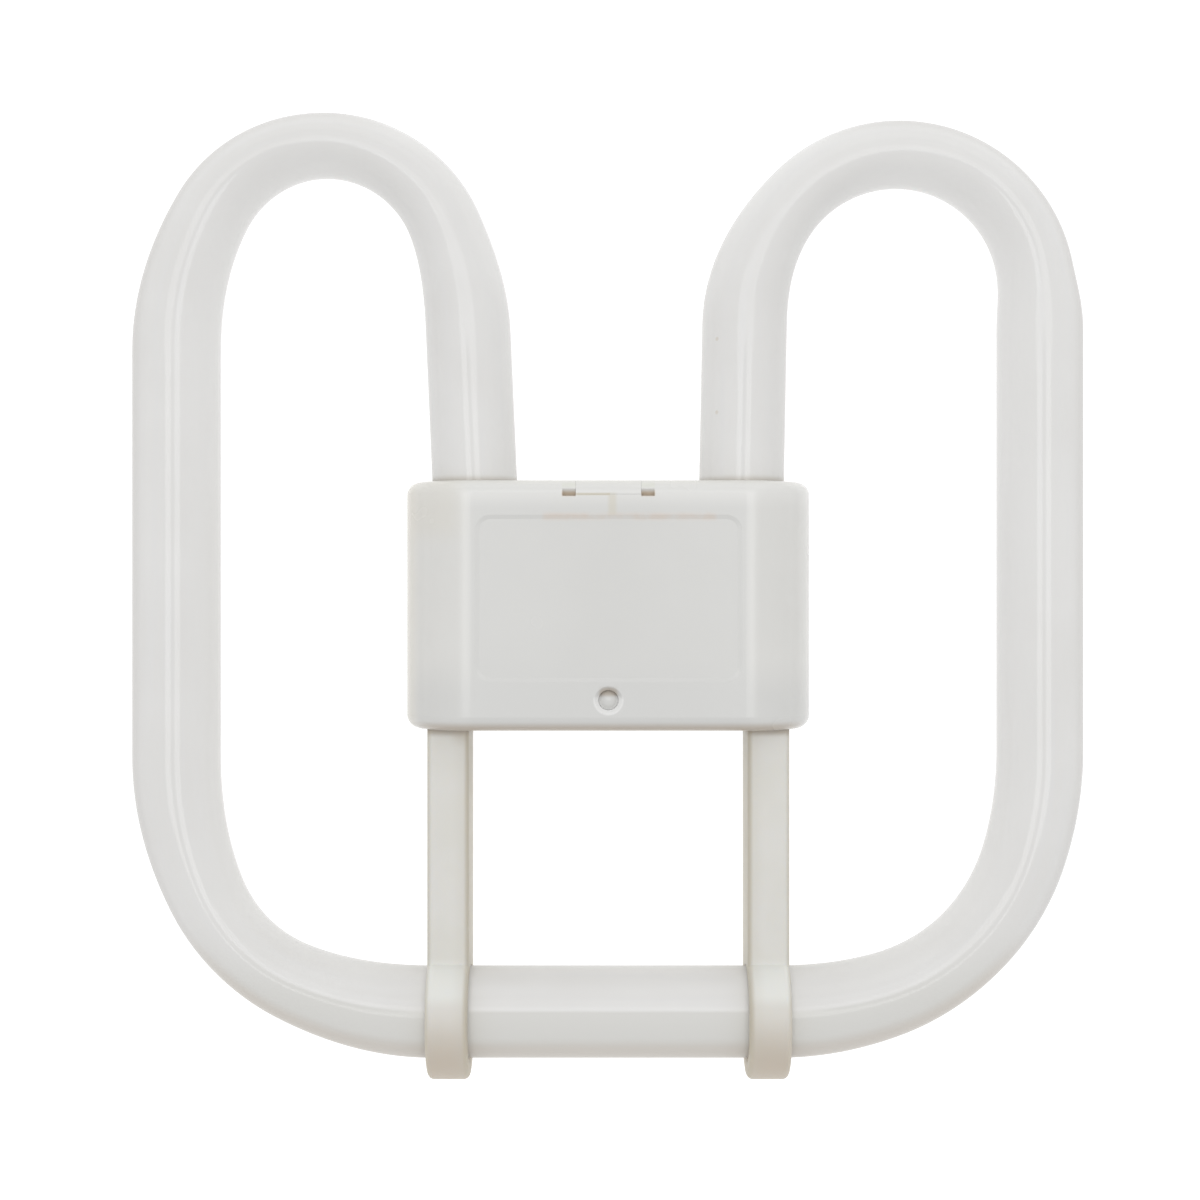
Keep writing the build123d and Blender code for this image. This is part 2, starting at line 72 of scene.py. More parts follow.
# Tube: its oval section
tube_depth = 12.6
bottom_run_width = 13.2
inner_leg_width = 12.3
left_widths = dict(corner=10.7, leg=12.65, outer_shoulder=10.9, crown=9.26, inner_shoulder=10.6)
right_widths = dict(corner=11.4, leg=12.35, outer_shoulder=10.9, crown=9.6, inner_shoulder=9.8)
seal_taper = 4.0
seal_length = 5.0
seal_width = 12.0
seal_thickness = 3.0
tube_insertion = 19.0
station_pitch = 0.8
ring_points = 72

# Cap and arms: places that the finishes follow
cap_top_y = 16.4
cap_bottom_y = -19.0
cap_half_width = 29.15
flat_half_width = 19.6
panel_top_y = 11.45
front_skin_z = (20.0, 23.0)
latch_half_width = 4.6
pit_far_x = 6.5
pit_low_y = 14.1
pit_high_y = 15.1
post_y = -14.6
post_middle_z = 21.6
arm_inner_x = 19.95
arm_outer_x = 25.95

# Finishes: what they share
patch_span = (0.3, 0.7)
spot_core = 0.4
fading = (1.0, 0.0)

# Coat of the tube. A layer is a tone and its share of cover. The share of the way round the tube
# is 0 on the outside of the bends, 0.25 in front and 0.5 on their inside.
coat_shades = ((0.735, 0.728, 0.714, 1), (0.765, 0.760, 0.748, 1))
coat_layers = dict(
    streak=((0.745, 0.743, 0.74, 1), 0.5),
    # Painted shade on the outside of the bends in the lobes
    rim=((0.645, 0.635, 0.62, 1), 0.95),
    # Painted light on the inside of the bends, above the bottom run
    inside=((0.80, 0.795, 0.785, 1), 1.0),
    # Painted shade on the lower half of the bottom run, below its highlight
    lower_half_shade=((0.68, 0.675, 0.65, 1), 0.9),
    # Painted shade, tinted brown, on the underside of the bottom run
    underside=((0.60, 0.565, 0.52, 1), 0.9),
    # Painted shade on the tube where it goes into the cap
    shade_by_cap=((0.47, 0.43, 0.36, 1), 0.55),
    speck=((0.56, 0.47, 0.35, 1), 0.35),
)
coat_round = dict(
    rim=(0.08, 0.175), inside=(0.27, 0.42), lower_half_shade=(0.272, 0.288), underside=(0.125, 0.19)
)
half_round = 0.5
coat_waves = dict(cloud=55.0, streak=3.0, skin=160.0)
streak_stretch = (6.0, 9.0, 1.0)
streak_span = (0.45, 0.75)
lobe_x = (28.0, 42.0)
above_bottom_y = (-54.0, -44.0)
bottom_y = (-58.0, -46.0)
near_cap_box = dict(blur=0.5, y=(cap_top_y - 1, cap_top_y + 0.6), x=(-26, 26))
specks = (((18.4, 49.1, 16.5), 0.55), ((15.5, 36.8, 16.8), 0.4), ((15.6, 26.3, 16.8), 0.45))
coat_gloss = ((0.2, 0.8), (0.5, 0.6))
coat_skin_depth = 0.02
coat_settings = {
    "Specular IOR Level": 0.0,
    "Coat Weight": 0.45,
    "Coat Roughness": 0.06,
    "Coat IOR": 1.5,
}

# Plastic of the cap
cap_shades = ((0.694, 0.69, 0.668, 1), (0.714, 0.709, 0.687, 1))
aged_tone = (0.685, 0.655, 0.58, 1)
cap_layers = dict(
    # Painted shade: the flat front is laid darker than the cap's sides
    front=((0.628, 0.628, 0.614, 1), 0.9),
    # Painted highlight along the top of the cap
    top_highlight=((0.765, 0.762, 0.742, 1), 0.7),
    # Painted shade on the cap's lower part, darker towards the bottom
    low_shade=((0.635, 0.635, 0.622, 1), 0.7),
    left_edge=(aged_tone, 0.6),
    top_left=(aged_tone, 0.35),
    top_edge=((0.60, 0.57, 0.47, 1), 0.15),
    # Painted shade with a brown stain along the bottom edge, stronger towards the front
    bottom_edge_shade_and_stain=((0.45, 0.385, 0.315, 1), 1.0),
    panel_line=((0.66, 0.50, 0.38, 1), 0.34),
    drip=((0.60, 0.55, 0.42, 1), 0.4),
    seam=((0.56, 0.49, 0.33, 1), 0.6),
    pit=((0.62, 0.51, 0.39, 1), 0.85),
    above_pit=((0.70, 0.71, 0.64, 1), 0.6),
    # Painted highlight on the lower rim of the hole round the post
    lit_post_rim=((0.82, 0.82, 0.81, 1), 1.0),
    post_shade=((0.44, 0.38, 0.31, 1), 0.7),
)
cap_boxes = dict(
    front=dict(blur=0.8, x=(-flat_half_width, flat_half_width), z=(21.6, 23.0)),
    left_edge=dict(blur=0.9, x=(-cap_half_width - 2, -27.6)),
    top_left=dict(blur=2.0, x=(-cap_half_width - 4, -21), y=(8.5, cap_top_y + 4)),
    top_edge=dict(blur=0.35, y=(cap_top_y - 0.5, cap_top_y + 2)),
    bottom_edge_shade_and_stain=dict(blur=0.6, y=(cap_bottom_y - 2, cap_bottom_y + 0.9)),
    panel_line=dict(
        blur=0.4, x=(-9.2, 15.1), y=(panel_top_y - 0.7, panel_top_y + 0.25), z=front_skin_z
    ),
    drip=dict(blur=0.35, x=(0.0, 1.1), y=(panel_top_y, cap_top_y - 1.9), z=front_skin_z),
    seam=dict(blur=0.16, x=(-latch_half_width, 0.2), y=(14.2, 14.5), z=front_skin_z),
    pit=dict(blur=0.3, y=(pit_low_y, pit_high_y - 0.35), z=(16, 23)),
    above_pit=dict(blur=0.2, y=(pit_high_y + 0.2, 16.0)),
    post_shade=dict(blur=0.3, x=(-1.3, 1.3), y=(post_y + 0.6, post_y + 1.9), z=(16, 21.9)),
)
cap_waves = dict(cloud=70.0, grain=900.0, broken=420.0)
broken_ramp = ((0.3, 0.65), (0.25, 1.0))
top_band_y = (panel_top_y + 0.6, cap_top_y - 1.6)
low_band_y = (-15.0, -8.0)
bottom_edge_z = (15.0, 20.0)
bottom_edge_shares = (0.1, 0.8)
pit_start_x = (latch_half_width - 0.1, latch_half_width + 0.1)
pit_stop_x = (pit_far_x - 0.1, pit_far_x + 0.2)
post_rim_start = (1.1, 1.5)
post_rim_stop = (1.9, 2.3)
post_rim_y = (post_y, post_y + 0.8)
cap_gloss = ((0.25, 0.75), (0.22, 0.28))
cap_grain_depth = 0.006
cap_settings = {"Specular IOR Level": 0.45}

# Nylon of the arms
arm_shades = ((0.685, 0.675, 0.63, 1), (0.71, 0.70, 0.665, 1))
arm_layers = dict(
    # Painted highlight on the clips' fronts, where they rise over the tube
    lit_clip_front=((0.765, 0.77, 0.735, 1), 1.0),
    # Painted shade, tinted brown, darker towards the clips' tips
    tip=((0.53, 0.46, 0.375, 1), 0.9),
    # Painted shade on the front, darker towards the inner edge
    inner_shade=((0.56, 0.53, 0.46, 1), 0.25),
    # Painted shade, tinted brown, on the arms' inner and outer sides
    inner_side_shade=((0.50, 0.45, 0.35, 1), 0.7),
    outer_side_shade=((0.54, 0.50, 0.40, 1), 0.5),
    # Painted shadow of the cap across the tops of the arms
    root=((0.40, 0.34, 0.27, 1), 0.75),
    # A darker, browner patch at the left arm's root below the cap
    root_patch=((0.54, 0.48, 0.41, 1), 0.4),
)
clip_front_box = dict(blur=1.0, y=(-57.3, -52.5), z=(15.0, 24.0))
root_stain_box = dict(
    blur=1.0, x=(-22.0, -18.0), y=(cap_bottom_y - 1.8, cap_bottom_y + 2), z=(13.0, 22.0)
)
arm_waves = dict(cloud=130.0, grain=800.0)
tip_y = (-67.5, -55.5)
root_y = (cap_bottom_y - 1.3, cap_bottom_y - 0.2)
inner_tone_x = (arm_inner_x + 0.4, arm_inner_x + 2.6)
inner_side_x = (arm_inner_x + 0.1, arm_inner_x + 0.9)
outer_side_x = (arm_outer_x - 0.7, arm_outer_x - 0.1)
# The painted shade on the sides grows towards the front
side_front_z = (3.0, 13.0)
side_front_shares = (0.3, 1.0)
arm_gloss = ((0.25, 0.75), (0.42, 0.55))
arm_grain_depth = 0.008
arm_settings = {
    "Specular IOR Level": 0.4,
    "Subsurface Weight": 0.15,
    "Subsurface Radius": (0.002, 0.0016, 0.001),
}

# Brass of the pins and glass of the starter
stain_span = (0.4, 0.7)
brass_shades = ((0.72, 0.55, 0.26, 1), (0.45, 0.31, 0.14, 1))
brass_waves = dict(tarnish=600.0, rings=900.0)
brass_gloss = ((0.0, 1.0), (0.22, 0.45))
brass_ring_depth = 0.01
brass_settings = {"Metallic": 1.0}
starter_shades = ((0.85, 0.9, 0.9, 1), (0.5, 0.52, 0.52, 1))
starter_waves = dict(soot=300.0, ripple=200.0)
starter_gloss = ((0.0, 1.0), (0.05, 0.2))
starter_ripple_depth = 0.02
starter_settings = {"Transmission Weight": 0.7}

# Small hidden pieces
small_span = (0.2, 0.8)
small_grain_times = 6
small_looks = dict(
    capacitor_dip=dict(
        shades=((0.5, 0.13, 0.06, 1), (0.36, 0.08, 0.04, 1)),
        waves=500.0,
        roughness=(0.2, 0.35),
        depth=0.03,
    ),
    lead_sleeve=dict(
        shades=((0.72, 0.72, 0.7, 1), (0.6, 0.6, 0.57, 1)),
        waves=800.0,
        roughness=(0.45, 0.6),
        depth=0.02,
    ),
    end_cement=dict(
        shades=((0.78, 0.78, 0.75, 1), (0.66, 0.65, 0.6, 1)),
        waves=350.0,
        roughness=(0.5, 0.7),
        depth=0.08,
    ),
)

# Floor
floor_flat_radius = 7300.0
floor_turn_radius = 700.0
floor_gap = 0.1
floor_points = 96
floor_rings = 13
floor_shades = ((0.33, 0.33, 0.33, 1), (0.35, 0.35, 0.35, 1))
floor_waves = 700.0
floor_gloss = ((0.0, 1.0), (0.85, 0.95))
floor_tooth_depth = 0.02
floor_settings = {
    "Specular IOR Level": 0.0,
    "Emission Color": (1, 1, 1, 1),
    "Emission Strength": 0.9,
}

# Light: a brightness is a light's power over pi times its area
tent_colour = (1, 1, 1, 1)
tent_brightness = 0.655
light_z = 3000
key_light = dict(at=(0, 1000, 600), toward=(0, 0, 0), size=(1400, 500), brightness=0.5)
top_light = dict(at=(0, 710, light_z), toward=(0, 710, 0), size=(2500, 580), brightness=2.4)
far_light = dict(at=(0, 1600, light_z), toward=(0, 1600, 0), size=(2500, 1200), brightness=0.8)
side_light = dict(size=(750, 840), brightness=3.3)
side_light_x = 635

# Camera
camera_distance = 290.0
view_width = 174.26
view_middle = (-1.19, -0.52)
sensor_width = 36.0
nearest_seen = 10.0
farthest_seen = 20000.0


# Curves


def eased(places, stops):
    """Values at the places on a curve through (place, value) stops.

    Between two stops the curve is a cubic whose slope at a stop is the harmonic mean of the slopes
    on both sides, or level where they point different ways, so the curve never overshoots a stop.
    """
    at, value = np.array(stops).T
    slope = np.diff(value) / np.diff(at)
    before, after = slope[:-1], slope[1:]
    same_way = before * after > 0
    total = np.where(same_way, before + after, 1.0)
    inner = np.where(same_way, 2 * before * after / total, 0.0)
    tangent = np.concatenate([[0.0], inner, [0.0]])
    i = np.clip(np.searchsorted(at, places, side="right") - 1, 0, len(slope) - 1)
    span = np.diff(at)[i]
    u = (places - at[i]) / span
    rise = u * u * (3 - 2 * u)
    bend = u * (1 - u) ** 2 * tangent[i] + u * u * (u - 1) * tangent[i + 1]
    return value[i] + np.diff(value)[i] * rise + span * bend


def half_runs(corner, crown):
    """Lengths and turns of the runs of one side's middle line, from the bottom run to the seal.

    Each bend is a tight arc between two gentler ones. The gentle radii of the crown are solved from
    the places of the two legs, so that every run meets the next one in line.
    """
    ease, outer_turn, inner_turn, tilt = np.radians(
        [corner["ease"], crown["outer_ease"], crown["inner_ease"], crown["lean"]]
    )
    tight, gentle = corner["radius"], corner["gentle"]
    round_top, offset, top = crown["radius"], crown["offset"], crown["top"]
    leg_x = leg_spacing / 2
    quarter = np.pi / 2
    reach = gentle * (np.sin(ease) + 1 - np.cos(ease)) + tight * (np.cos(ease) - np.sin(ease))
    outer = (leg_x - offset - round_top * np.cos(outer_turn)) / (1 - np.cos(outer_turn))
    leg_top_y = top - outer * np.sin(outer_turn) - round_top * (1 - np.sin(outer_turn))
    drop = top - round_top * (1 - np.sin(inner_turn)) - cap_top_y
    across = offset - inner_spacing / 2 - round_top * np.cos(inner_turn) - drop * np.tan(tilt)
    sink = np.sin(inner_turn) - np.sin(tilt)
    inner = across / (np.cos(tilt) - np.cos(inner_turn) - sink * np.tan(tilt))
    inner_top = drop - inner * sink
    runs = [
        (leg_x - reach, 0),
        (gentle * ease, ease),
        (tight * (quarter - 2 * ease), quarter - 2 * ease),
        (gentle * ease, ease),
        (leg_top_y - bottom_run_y - reach, 0),
        (outer * outer_turn, outer_turn),
        (round_top * (quarter - outer_turn), quarter - outer_turn),
        (round_top * (quarter - inner_turn), quarter - inner_turn),
        (inner * (inner_turn - tilt), inner_turn - tilt),
        ((inner_top + tube_insertion) / np.cos(tilt), 0),
        (seal_taper, 0),
        (seal_length, 0),
    ]
    return np.array(runs).T


def walk(lengths, turns, places):
    """Points and headings at the places along a chain of straight runs and arcs.

    An arc of length t and turn k ends a chord of t times sinc(k / 2) away, in the direction half
    the turn beyond its start; a straight run is an arc that turns by nothing.
    """
    ends = np.concatenate([[0.0], np.cumsum(lengths)])
    headings = np.cumsum(turns) - turns
    chords = lengths * np.sinc(turns / (2 * np.pi))
    steps = chords * np.stack([np.cos(headings + turns / 2), np.sin(headings + turns / 2)])
    starts = np.cumsum(steps, axis=1) - steps
    i = np.clip(np.searchsorted(ends, places, side="right") - 1, 0, len(lengths) - 1)
    along = places - ends[i]
    turned = turns[i] / lengths[i] * along
    chord = along * np.sinc(turned / (2 * np.pi))
    middle = headings[i] + turned / 2
    x = starts[0, i] + chord * np.cos(middle)
    y = starts[1, i] + chord * np.sin(middle) + bottom_run_y
    return x, y, headings[i] + turned


def half_stations(corner, crown, widths):
    """Stations of one side of the tube, evenly apart: x, y, heading, width and depth.

    Width and depth are eased between stops at the ends of the runs, and halfway round the corner.
    """
    lengths, turns = half_runs(corner, crown)
    ends = np.concatenate([[0.0], np.cumsum(lengths)])
    places = np.linspace(0, ends[-1], int(ends[-1] / station_pitch) + 1)
    x, y, heading = walk(lengths, turns, places)
    width_stops = [
        (ends[0], bottom_run_width),
        (ends[1], bottom_run_width),
        ((ends[2] + ends[3]) / 2, widths["corner"]),
        (ends[4], widths["leg"]),
        (ends[5], widths["leg"]),
        (ends[6], widths["outer_shoulder"]),
        (ends[7], widths["crown"]),
        (ends[8], widths["inner_shoulder"]),
        (ends[9], inner_leg_width),
        (ends[10], inner_leg_width),
        (ends[11], seal_width),
        (ends[12], seal_width),
    ]
    depth_stops = [
        (ends[0], tube_depth),
        (ends[10], tube_depth),
        (ends[11], seal_thickness),
        (ends[12], seal_thickness),
    ]
    return np.stack([x, y, heading, eased(places, width_stops), eased(places, depth_stops)])


# Meshes


def set_in(name, data):
    """A new object of a name in the scene."""
    made = bpy.data.objects.new(name, data)
    bpy.context.scene.collection.objects.link(made)
    return made


def strips(index):
    """Quads between neighbouring rings of point numbers, each ring closed on itself."""
    ahead = np.roll(index, -1, axis=1)
    return np.stack([index[:-1], index[1:], ahead[1:], ahead[:-1]], axis=-1).reshape(-1, 4)


def ring_sweep(name, rings):
    """A closed mesh from an array of rings (ring, point, xyz): quads between, a fan at both ends.

    The mesh keeps a UV map whose first number is the share of the way along and whose second is the
    share of the way round.
    """
    count, around = rings.shape[:2]
    index = np.arange(count * around).reshape(count, around)
    first, last = count * around, count * around + 1
    middles = rings[[0, -1]].mean(axis=1)
    near = np.stack([index[0], np.roll(index[0], -1), np.full(around, first)], axis=-1)
    far = np.stack([np.roll(index[-1], -1), index[-1], np.full(around, last)], axis=-1)
    mesh = bpy.data.meshes.new(name)
    points = np.concatenate([rings.reshape(-1, 3), middles]) * MM
    mesh.from_pydata(points, [], strips(index).tolist() + near.tolist() + far.tolist())
    along, turn = np.meshgrid(np.arange(count - 1), np.arange(around), indexing="ij")
    corners = [along, turn, along + 1, turn, along + 1, turn + 1, along, turn + 1]
    step = np.arange(around)
    start, end = np.zeros(around), np.full(around, count - 1)
    near_corners = [start, step, start, step + 1, start, step + 0.5]
    far_corners = [end, step + 1, end, step, end, step + 0.5]
    face_sets = (corners, near_corners, far_corners)
    uv = np.concatenate([np.stack(faces, axis=-1).reshape(-1, 2) for faces in face_sets])
    uv = uv / (count - 1, around)
    mesh.uv_layers.new(name="run").data.foreach_set("uv", uv.astype(np.float32).ravel())
    mesh.polygons.foreach_set("use_smooth", np.ones(len(mesh.polygons), dtype=bool))
    return set_in(name, mesh)


def glass_tube():
    """The glass tube: an oval carried along the middle line from the left seal to the right seal.

    A ring's point at angle p lies half the width times cos p to the line's right hand side and half
    the depth times sin p to the front.
    """
    left = half_stations(left_corner, left_crown, left_widths)
    right = half_stations(right_corner, right_crown, right_widths)
    # The left side runs in from its seal and is mirrored, so x and heading change sign
    left = left[:, :0:-1]
    left[0] *= -1
    left[2] *= -1
    x, y, heading, width, depth = np.concatenate([left, right], axis=1)[:, :, None]
    angle = np.linspace(0, 2 * np.pi, ring_points, endpoint=False)
    aside = width / 2 * np.cos(angle)
    forward = depth / 2 * np.sin(angle)
    rings = [x + aside * np.sin(heading), y - aside * np.cos(heading), tube_plane + forward]
    return ring_sweep("glass_tube", np.stack(rings, axis=-1))


# Nodes of the finishes


def put(tree, kind, inputs=None, **settings):
    """A new node with its settings, its inputs filled from values or the sockets of other nodes."""
    made = tree.nodes.new(kind)
    for key, value in settings.items():
        setattr(made, key, value)
    for key, value in (inputs or {}).items():
        if isinstance(value, bpy.types.NodeSocket):
            tree.links.new(value, made.inputs[key])
        else:
            made.inputs[key].default_value = value
    return made


def calc(tree, operation, a, b=0.0):
    """One sum on two values."""
    return put(tree, "ShaderNodeMath", {0: a, 1: b}, operation=operation).outputs[0]


def times(tree, first, *others):
    """The product of two or more values."""
    for other in others:
        first = calc(tree, "MULTIPLY", first, other)
    return first


def ramp(tree, value, span, ends=(0.0, 1.0)):
    """A smooth change between two ends while a value crosses a span, and level beyond it."""
    inputs = {"Value": value, "From Min": span[0], "From Max": span[1]}
    inputs.update({"To Min": ends[0], "To Max": ends[1]})
    node = put(tree, "ShaderNodeMapRange", inputs, interpolation_type="SMOOTHSTEP")
    return node.outputs["Result"]


def ramp_mm(tree, place, span, ends=(0.0, 1.0)):
    """The same change over a span of places in mm."""
    return ramp(tree, place, (span[0] * MM, span[1] * MM), ends)


def blend(tree, share, under, over):
    """One colour laid over another by a share."""
    mix = put(tree, "ShaderNodeMix", {0: share, 6: under, 7: over}, data_type="RGBA")
    return mix.outputs[2]


def lay(tree, colour, layer, *masks):
    """A colour with a layer's tone over it, by the layer's share, where all of the masks are."""
    tone, share = layer
    return blend(tree, times(tree, *masks, share), colour, tone)


def patches(tree, field, shades):
    """Two shades in soft patches of a random field."""
    return blend(tree, ramp(tree, field, patch_span), *shades)


def noise(tree, place, waves, detail=3.0):
    """A soft random field from 0 to 1, with so many waves to the metre."""
    inputs = {"Vector": place, "Scale": waves, "Detail": detail}
    return put(tree, "ShaderNodeTexNoise", inputs).outputs["Fac"]


def distance(tree, place, point):
    """How far a place is from a point in mm."""
    point = tuple(value * MM for value in point)
    node = put(tree, "ShaderNodeVectorMath", {0: place, 1: point}, operation="DISTANCE")
    return node.outputs["Value"]


def soft_box(tree, axes, blur, **spans):
    """A mask that is 1 inside a box and fades over a blur at its sides; spans are limits in mm."""
    sides = []
    for letter, (low, high) in spans.items():
        value = axes[letter.upper()]
        sides.append(ramp_mm(tree, value, (low - blur, low + blur)))
        sides.append(ramp_mm(tree, value, (high - blur, high + blur), fading))
    return times(tree, *sides)


def spot(tree, place, centre, radius):
    """A mask of a soft round spot about a point, in mm."""
    return ramp_mm(tree, distance(tree, place, centre), (radius * spot_core, radius), fading)


def finish_start(name):
    """An empty finish: its material, node tree, shader, object place and the place's three axes."""
    material = bpy.data.materials.new(name)
    material.use_nodes = True
    tree = material.node_tree
    shader = next(n for n in tree.nodes if n.type == "BSDF_PRINCIPLED")
    place = put(tree, "ShaderNodeTexCoord").outputs["Object"]
    axes = put(tree, "ShaderNodeSeparateXYZ", {0: place}).outputs
    return material, tree, shader, place, axes


def dress(tree, shader, settings, colour, roughness, height, depth):
    """Give a shader its settings, a colour, a roughness and a bump of a given depth in mm."""
    for name, value in settings.items():
        shader.inputs[name].default_value = value
    bump = put(tree, "ShaderNodeBump", {"Height": height, "Distance": depth * MM, "Strength": 1.0})
    tree.links.new(colour, shader.inputs["Base Color"])
    tree.links.new(roughness, shader.inputs["Roughness"])
    tree.links.new(bump.outputs["Normal"], shader.inputs["Normal"])


# Finishes


def coated_glass():
    """Clear glass over a white powder coat: cloudy in wide patches, streaked along the run."""
    material, tree, shader, place, axes = finish_start("coated_glass")
    run = put(tree, "ShaderNodeUVMap", uv_map="run").outputs["UV"]
    stretch = put(tree, "ShaderNodeMapping", {"Vector": run, "Scale": streak_stretch})
    cloud = noise(tree, place, coat_waves["cloud"])
    streak = noise(tree, stretch.outputs["Vector"], coat_waves["streak"], detail=2.0)
    share_round = put(tree, "ShaderNodeSeparateXYZ", {0: run}).outputs["Y"]
    from_outside = calc(tree, "PINGPONG", share_round, half_round)
    rim = ramp(tree, from_outside, coat_round["rim"], fading)
    inside = ramp(tree, from_outside, coat_round["inside"])
    lower_half_shade = ramp(tree, from_outside, coat_round["lower_half_shade"], fading)
    underside = ramp(tree, from_outside, coat_round["underside"], fading)
    in_lobe = ramp_mm(tree, calc(tree, "ABSOLUTE", axes["X"]), lobe_x)
    above_bottom = ramp_mm(tree, axes["Y"], above_bottom_y)
    at_bottom = ramp_mm(tree, axes["Y"], bottom_y, fading)
    shade_by_cap = soft_box(tree, axes, **near_cap_box)
    colour = patches(tree, cloud, coat_shades)
    colour = lay(tree, colour, coat_layers["streak"], ramp(tree, streak, streak_span))
    # painted shade on the outer rims of the lobes
    colour = lay(tree, colour, coat_layers["rim"], rim, in_lobe)
    # painted light on the inside of the bends
    colour = lay(tree, colour, coat_layers["inside"], inside, in_lobe, above_bottom)
    # painted shade on the lower half of the bottom run
    colour = lay(tree, colour, coat_layers["lower_half_shade"], lower_half_shade, at_bottom)
    # painted shade, tinted brown, on the bottom run's underside
    colour = lay(tree, colour, coat_layers["underside"], underside, at_bottom)
    # painted shade where the tube goes into the cap
    colour = lay(tree, colour, coat_layers["shade_by_cap"], shade_by_cap)
    for centre, radius in specks:
        colour = lay(tree, colour, coat_layers["speck"], spot(tree, place, centre, radius))
    roughness = ramp(tree, cloud, *coat_gloss)
    skin = noise(tree, place, coat_waves["skin"], detail=1.0)
    dress(tree, shader, coat_settings, colour, roughness, skin, coat_skin_depth)
    return material


def cap_moulding():
    """Satin white plastic: fine grain, yellowed at the left, dirt at the latch and panel, painted
    shade tinted brown above the post and a painted highlight on its lower rim.
    """
    material, tree, shader, place, axes = finish_start("cap_moulding")
    masks = {name: [soft_box(tree, axes, **box)] for name, box in cap_boxes.items()}
    cloud = noise(tree, place, cap_waves["cloud"])
    broken = ramp(tree, noise(tree, place, cap_waves["broken"]), *broken_ramp)
    from_middle = calc(tree, "ABSOLUTE", axes["X"])
    pit_start = ramp_mm(tree, from_middle, pit_start_x)
    pit_stop = ramp_mm(tree, from_middle, pit_stop_x, fading)
    from_post = distance(tree, place, (0.0, post_y, post_middle_z))
    # painted highlight, lighter towards the top edge
    masks["top_highlight"] = [ramp_mm(tree, axes["Y"], top_band_y)]
    # painted shade, darker towards the bottom of the cap
    masks["low_shade"] = [ramp_mm(tree, axes["Y"], low_band_y, fading)]
    # painted shade with a brown stain, stronger towards the front
    masks["bottom_edge_shade_and_stain"].append(ramp_mm(tree, axes["Z"], bottom_edge_z, bottom_edge_shares))
    masks["panel_line"].append(broken)
    masks["pit"] += [pit_start, pit_stop]
    masks["above_pit"] += [pit_start, pit_stop]
    # painted highlight on the lower rim round the post
    masks["lit_post_rim"] = [
        ramp_mm(tree, from_post, post_rim_start),
        ramp_mm(tree, from_post, post_rim_stop, fading),
        ramp_mm(tree, axes["Y"], post_rim_y, fading),
    ]
    colour = patches(tree, cloud, cap_shades)
    for name, layer in cap_layers.items():
        colour = lay(tree, colour, layer, *masks[name])
    roughness = ramp(tree, cloud, *cap_gloss)
    grain = noise(tree, place, cap_waves["grain"], detail=1.0)
    dress(tree, shader, cap_settings, colour, roughness, grain, cap_grain_depth)
    return material


def arm_moulding():
    """Ivory nylon: a painted highlight on the clips' fronts, painted shade tinted brown along its
    sides and at the clips' tips, and a painted shadow under the cap.
    """
    material, tree, shader, place, axes = finish_start("arm_moulding")
    cloud = noise(tree, place, arm_waves["cloud"])
    from_middle = calc(tree, "ABSOLUTE", axes["X"])
    side_front = ramp_mm(tree, axes["Z"], side_front_z, side_front_shares)
    masks = dict(
        # painted highlight on the clips' fronts
        lit_clip_front=[soft_box(tree, axes, **clip_front_box)],
        # painted shade, tinted brown, towards the clips' tips
        tip=[ramp_mm(tree, axes["Y"], tip_y, fading)],
        # painted shade towards the inner edge
        inner_shade=[ramp_mm(tree, from_middle, inner_tone_x, fading)],
        # painted shade, tinted brown, on the sides
        inner_side_shade=[ramp_mm(tree, from_middle, inner_side_x, fading), side_front],
        outer_side_shade=[ramp_mm(tree, from_middle, outer_side_x), side_front],
        # painted shadow of the cap on the arms' tops
        root=[ramp_mm(tree, axes["Y"], root_y)],
        # darker, browner patch at the left arm's root
        root_patch=[soft_box(tree, axes, **root_stain_box)],
    )
    colour = patches(tree, cloud, arm_shades)
    for name, layer in arm_layers.items():
        colour = lay(tree, colour, layer, *masks[name])
    roughness = ramp(tree, cloud, *arm_gloss)
    grain = noise(tree, place, arm_waves["grain"], detail=1.0)
    dress(tree, shader, arm_settings, colour, roughness, grain, arm_grain_depth)
    return material


def pin_brass():
    """Turned brass: fine rings from the tool, dull brown where it has tarnished."""
    material, tree, shader, place, _ = finish_start("pin_brass")
    tarnish = ramp(tree, noise(tree, place, brass_waves["tarnish"]), stain_span)
    wave = {"Vector": place, "Scale": brass_waves["rings"]}
    rings = put(tree, "ShaderNodeTexWave", wave, bands_direction="Z").outputs["Fac"]
    colour = blend(tree, tarnish, *brass_shades)
    roughness = ramp(tree, tarnish, *brass_gloss)
    dress(tree, shader, brass_settings, colour, roughness, rings, brass_ring_depth)
    return material


def starter_glass():
    """Thin clear glass, grey where metal has settled inside."""
    material, tree, shader, place, _ = finish_start("starter_glass")
    soot = ramp(tree, noise(tree, place, starter_waves["soot"]), stain_span)
    ripple = noise(tree, place, starter_waves["ripple"])
    colour = blend(tree, soot, *starter_shades)
    roughness = ramp(tree, soot, *starter_gloss)
    dress(tree, shader, starter_settings, colour, roughness, ripple, starter_ripple_depth)
    return material


def small_finish(name, shades, waves, roughness, depth):
    """A plain finish of a small hidden piece: two shades in patches, with a grain of its own."""
    material, tree, shader, place, _ = finish_start(name)
    patch = noise(tree, place, waves)
    grain = noise(tree, place, waves * small_grain_times)
    roughness = ramp(tree, patch, small_span, roughness)
    dress(tree, shader, {}, patches(tree, patch, shades), roughness, grain, depth)
    return material


